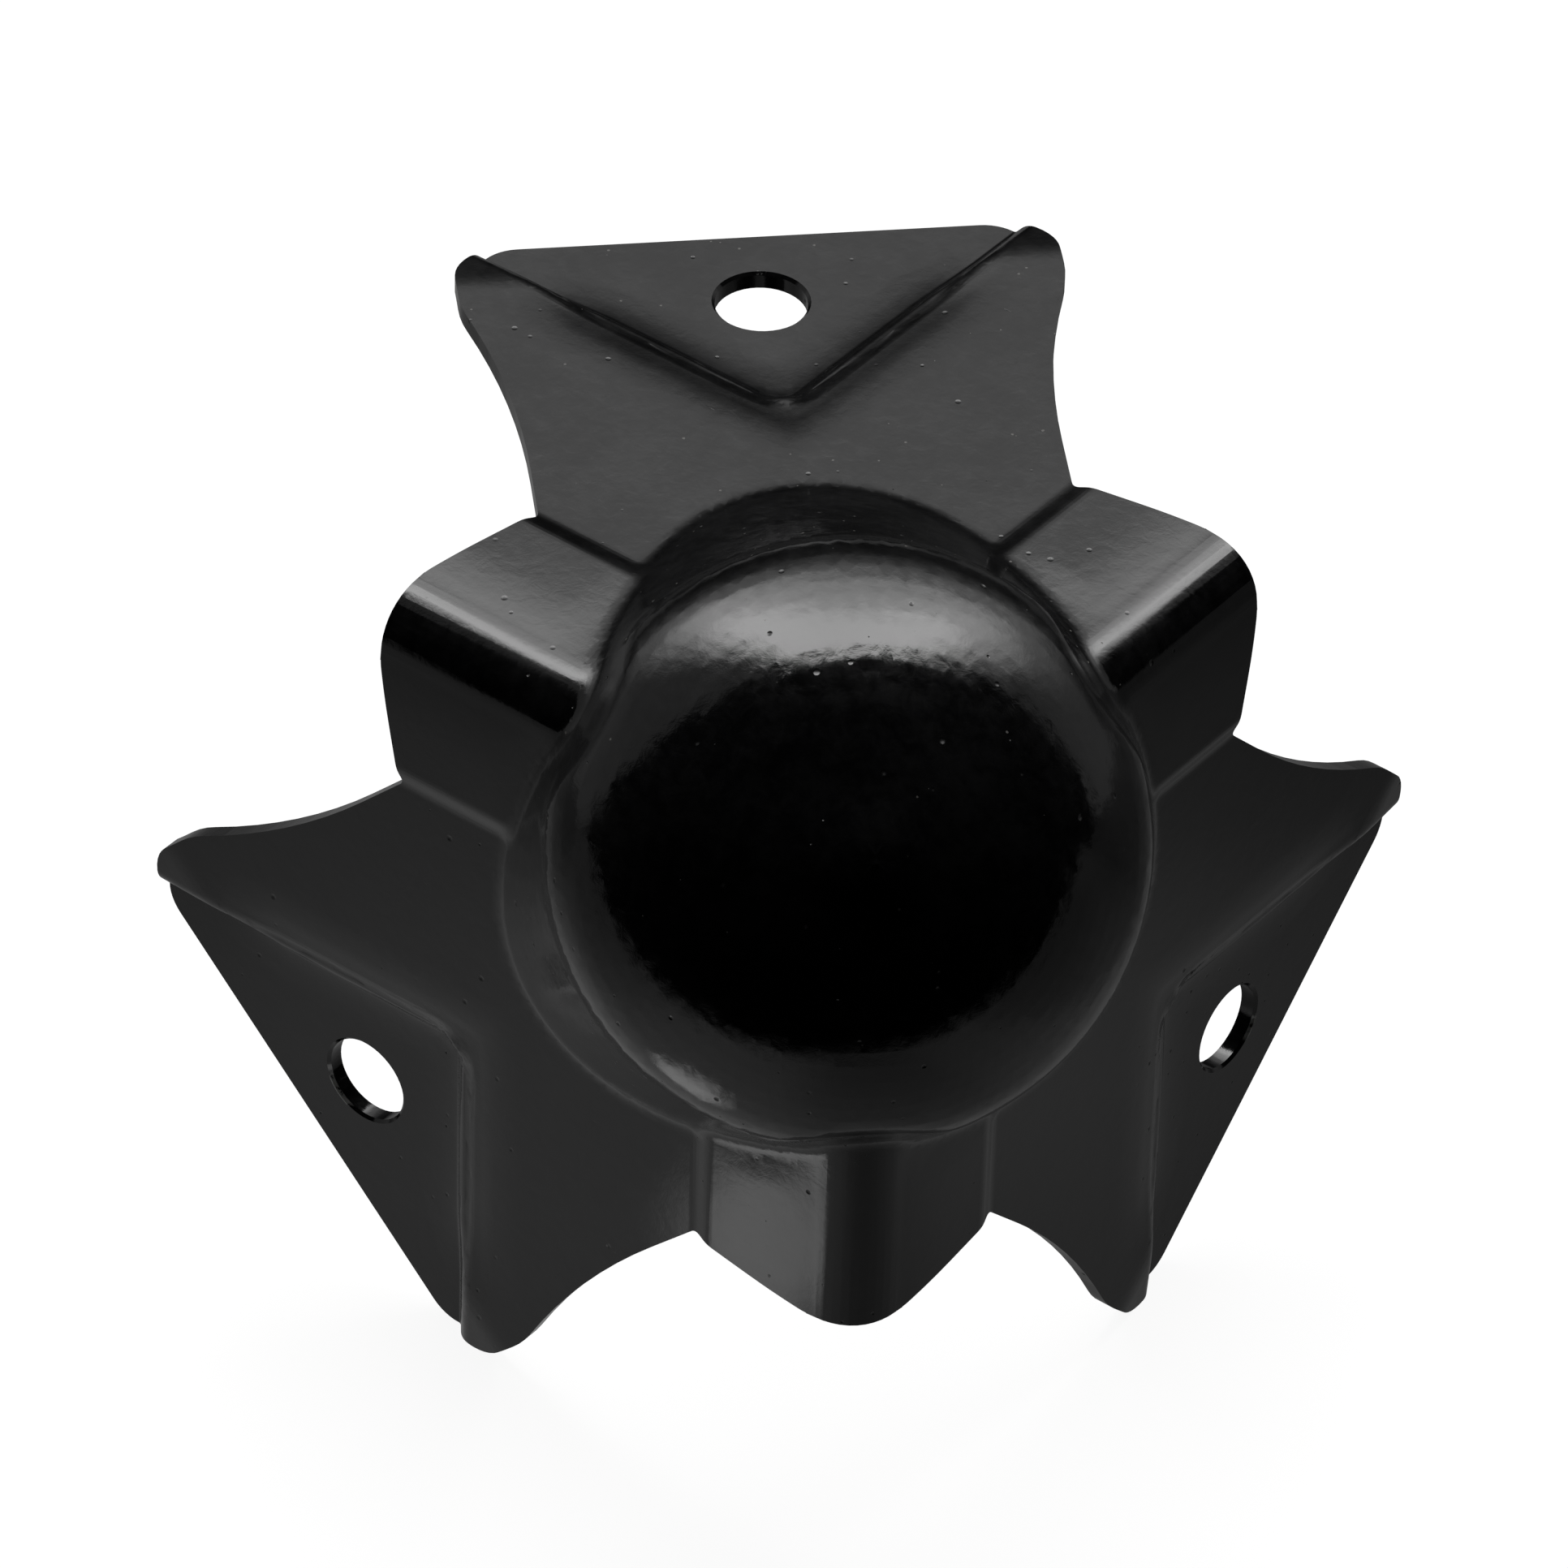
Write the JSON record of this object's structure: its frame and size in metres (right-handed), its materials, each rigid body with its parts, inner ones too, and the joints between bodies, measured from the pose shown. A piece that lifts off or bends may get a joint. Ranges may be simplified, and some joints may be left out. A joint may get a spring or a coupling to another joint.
{
  "type": "flight case corner",
  "caption": "Pressed steel ball corner for a flight case, with cranked legs riveted to the panels and short ears over the ends of the edge angles.",
  "frame": {"origin": "the point where the outer faces of the case's edge angles would meet, just inside the ball's top", "axes": "+Z points out of the case's top panel, -Y out of its front panel and +X out of its side panel; the case lies in x < 0, y > 0, z < 0"},
  "size_m": [0.0663, 0.0663, 0.0663],
  "materials": {
    "coated_steel": "black semi-gloss coat over zinc plated steel, with small pits and worn hole rims"
  },
  "bodies": {
    "root": {"corner_shell": "coated_steel"}
  },
  "joints": []
}
